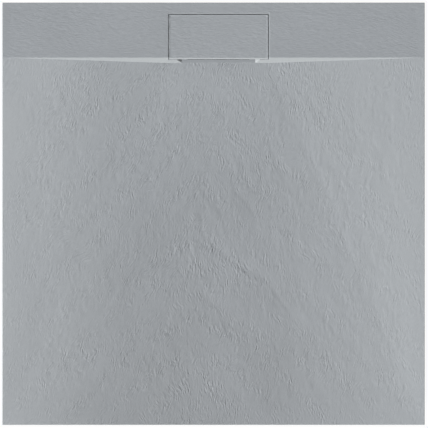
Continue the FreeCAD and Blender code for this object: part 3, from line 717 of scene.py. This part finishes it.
def make_cover(coat, resin):
    x_lines = lines((COVER_LOW.x - BESIDE, COVER_HIGH.x + BESIDE, COVER_COLUMN))
    rows = lines(
        (COVER_LOW.y - BESIDE, LEDGE_FRONT, COVER_COLUMN),
        (LEDGE_FRONT, COVER_HIGH.y + BESIDE, COVER_ROW),
    )
    rows = np.repeat(rows[None, :], len(x_lines), axis=0)
    block = relief_block("cover_block", x_lines, rows, cover_top, COVER_LOW.z - BELOW)
    cover = cut_from_cad("slate_cover", "drain_cover", block)
    finish_casting(cover, coat, resin, COVER_BARE)
    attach(cover, "cover")
    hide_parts("drain_cover")


def finish_casting(piece, coat, resin, bare_below):
    """Shades a casting: coated where it shows, and bare resin on flat faces below a height."""
    shade(piece)
    piece.data.materials.clear()
    piece.data.materials.append(coat)
    piece.data.materials.append(resin)
    for face in piece.data.polygons:
        bare = face.center.z < bare_below and abs(face.normal.z) > 0.3
        face.material_index = 1 if bare else 0


def dress_nodes(material, *nodes):
    """CAD nodes keep their shape and take this material."""
    for node in nodes:
        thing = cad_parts[node]
        thing.data.materials.clear()
        thing.data.materials.append(material)


def dress_waste():
    """Gives the waste, the trap and the cover's pads their materials."""
    silicone = rubber_material("clear_silicone", (0.5, 0.5, 0.47), 0.45)
    black_rubber = rubber_material("black_rubber", (0.018, 0.018, 0.02))
    brushed = metal_material("brushed_stainless", (0.56, 0.56, 0.57), 0.32, 0.02 * MM)
    polished = metal_material("polished_stainless", (0.62, 0.62, 0.63), 0.16)
    brass = metal_material("brass", (0.62, 0.45, 0.18), 0.34, 0.02 * MM)
    grey_plastic = plastic_material("grey_polypropylene", srgb(128, 130, 132), 0.46)
    white_plastic = plastic_material("white_polypropylene", srgb(214, 214, 210), 0.4)
    blue_plastic = plastic_material("blue_polypropylene", srgb(70, 98, 128), 0.42)
    dress_nodes(silicone, "cover_pads")
    dress_nodes(black_rubber, "flange_gasket", "lower_gasket", "outlet_seal", "cup_seal")
    dress_nodes(brushed, "waste_flange", "flange_screws")
    dress_nodes(polished, "hair_strainer")
    dress_nodes(brass, "screw_inserts")
    dress_nodes(grey_plastic, "trap_body")
    dress_nodes(white_plastic, "outlet_pipe", "outlet_nut")
    dress_nodes(blue_plastic, "dip_cup")


# ---------------------------------------------------------------- studio

def backdrop_rays(tree):
    """1 for rays that see the backdrop straight on, in metal or through glass, and 0 for light."""
    path = tree.nodes.new("ShaderNodeLightPath")
    seen = path.outputs["Is Camera Ray"]
    for kind in ("Is Glossy Ray", "Is Transmission Ray"):
        either = tree.nodes.new("ShaderNodeMath")
        either.operation = "MAXIMUM"
        tree.links.new(seen, either.inputs[0])
        tree.links.new(path.outputs[kind], either.inputs[1])
        seen = either.outputs[0]
    return seen


def make_stage(half=6.0, glow_share=0.95):
    """A pale floor just under the trap, white to the eye but still shaded by the object."""
    level = cad_box[0].z - 0.5 * MM
    corners = [(-half, -half, level), (half, -half, level), (half, half, level), (-half, half, level)]
    mesh = bpy.data.meshes.new("floor")
    mesh.from_pydata(corners, [], [(0, 1, 2, 3)])
    floor = bpy.data.objects.new("floor", mesh)
    bpy.context.scene.collection.objects.link(floor)
    look = Shader("pale_floor", 0.9)
    look.set("Base Color", (0.9, 0.9, 0.9, 1))
    glow = look.add("ShaderNodeEmission")
    mix = look.add("ShaderNodeMixShader")
    look.join(look.times(backdrop_rays(look.tree), glow_share), mix.inputs[0])
    look.join(look.surface.outputs[0], mix.inputs[1])
    look.join(glow.outputs[0], mix.inputs[2])
    look.join(mix.outputs[0], look.tree.nodes["Material Output"].inputs["Surface"])
    mesh.materials.append(look.material)


def make_world(strength):
    """A white world that lights the object at this strength."""
    world = bpy.data.worlds.new("studio")
    world.use_nodes = True
    tree = world.node_tree
    background = tree.nodes["Background"]
    background.inputs["Color"].default_value = (1, 1, 1, 1)
    level = tree.nodes.new("ShaderNodeMapRange")
    level.inputs["To Min"].default_value = strength
    level.inputs["To Max"].default_value = 1.0
    tree.links.new(backdrop_rays(tree), level.inputs["Value"])
    tree.links.new(level.outputs["Result"], background.inputs["Strength"])
    bpy.context.scene.world = world


def make_sun(name, towards, strength, softness):
    """A distant lamp that shines along a direction, its softness the degrees that it spans."""
    lamp = bpy.data.lights.new(name, "SUN")
    lamp.energy = strength
    lamp.angle = math.radians(softness)
    thing = bpy.data.objects.new(name, lamp)
    thing.rotation_euler = Vector(towards).to_track_quat("-Z", "Y").to_euler()
    bpy.context.scene.collection.objects.link(thing)


def make_camera(frame_width=0.912, image_width=428, distance=9.0, shift_x=0.5, shift_y=-0.2):
    """Straight above the tray and far away, with the ledge at the top of the picture. The shifts are
    in pixels."""
    pixel = frame_width / image_width
    camera = bpy.data.cameras.new("camera")
    camera.sensor_width = 36
    camera.lens = camera.sensor_width * distance / frame_width
    camera.clip_end = 50
    thing = bpy.data.objects.new("camera", camera)
    thing.location = (shift_x * pixel, shift_y * pixel, TOP + distance)
    bpy.context.scene.collection.objects.link(thing)
    bpy.context.scene.camera = thing


cast_resin = cast_material("cast_underside")
make_tray(slate_material("slate_gel_coat", srgb(150, 154, 158)), cast_resin)
make_cover(slate_material("slate_gel_coat_cover", srgb(153, 157, 161)), cast_resin)
dress_waste()
make_stage()
make_world(strength=0.2)
make_sun("key", towards=(0.78, 0.37, -0.5), strength=4.4, softness=14)
make_sun("fill", towards=(-0.3, -0.25, -1.0), strength=0.3, softness=60)
make_camera()
bpy.context.scene.view_settings.view_transform = "Standard"
